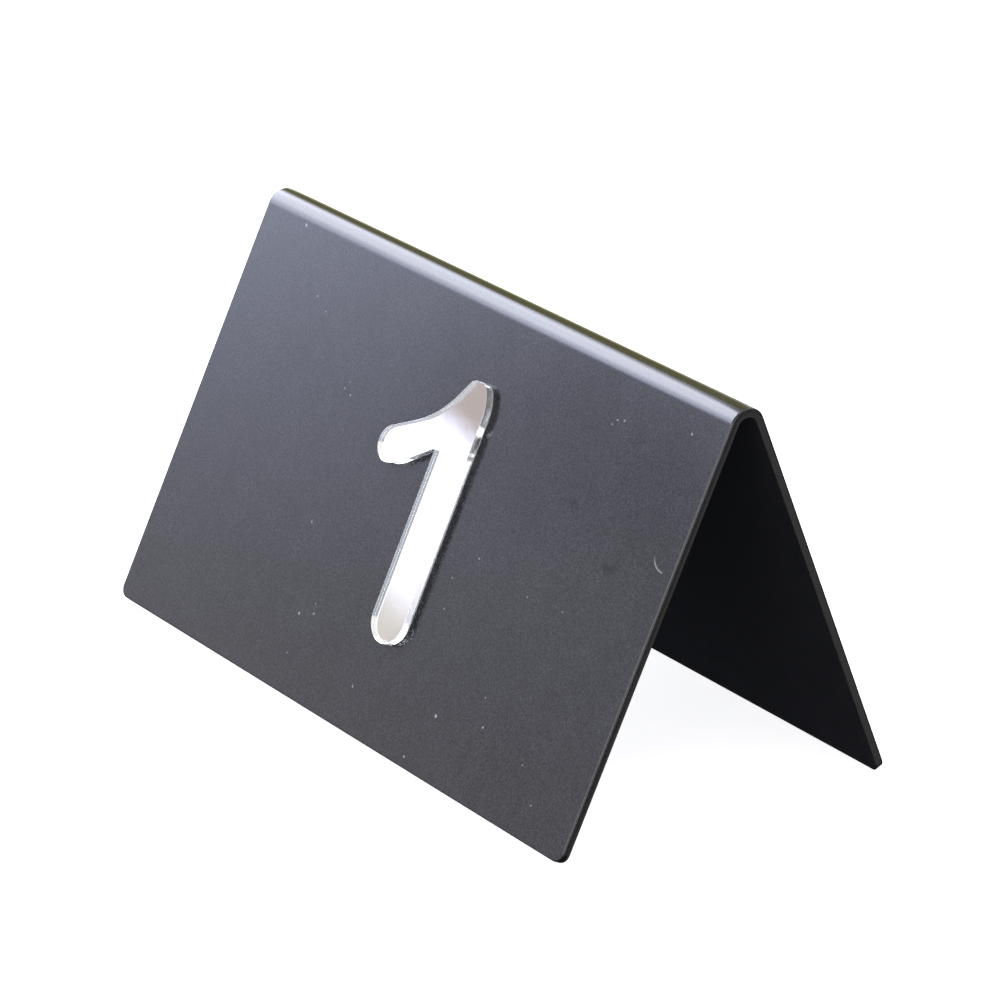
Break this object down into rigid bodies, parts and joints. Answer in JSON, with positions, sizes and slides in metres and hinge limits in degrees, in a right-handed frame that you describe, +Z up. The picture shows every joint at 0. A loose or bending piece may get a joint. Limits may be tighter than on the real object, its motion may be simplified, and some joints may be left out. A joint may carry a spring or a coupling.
{
  "type": "table number holder",
  "caption": "Free-standing tent of heat-bent black acrylic with a mirrored figure 1 glued to each sloping face, for numbering a dining table.",
  "frame": {"origin": "middle of the footprint, at table height", "axes": "+X along the ridge, +Z up, the front panel faces -Y"},
  "size_m": [0.17, 0.0888, 0.0926],
  "materials": {
    "black_acrylic": "opaque black cast acrylic, satin-gloss skin with light dust and faint handling smears, saw-cut and flamed edges",
    "clear_acrylic": "clear polished cast acrylic, laser-cut flame-polished edges",
    "mirror_film": "vacuum-metallised silver mirror seen through the clear acrylic",
    "backing_paint": "matt white protective paint on the back of the mirror",
    "adhesive": "thin clear transfer adhesive"
  },
  "bodies": {
    "root": {"tent_sheet": "black_acrylic", "front_numeral_adhesive": "adhesive", "front_numeral_backing_paint": "backing_paint", "front_numeral_mirror_film": "mirror_film", "front_numeral_clear_body": "clear_acrylic", "rear_numeral_adhesive": "adhesive", "rear_numeral_backing_paint": "backing_paint", "rear_numeral_mirror_film": "mirror_film", "rear_numeral_clear_body": "clear_acrylic"}
  },
  "joints": []
}
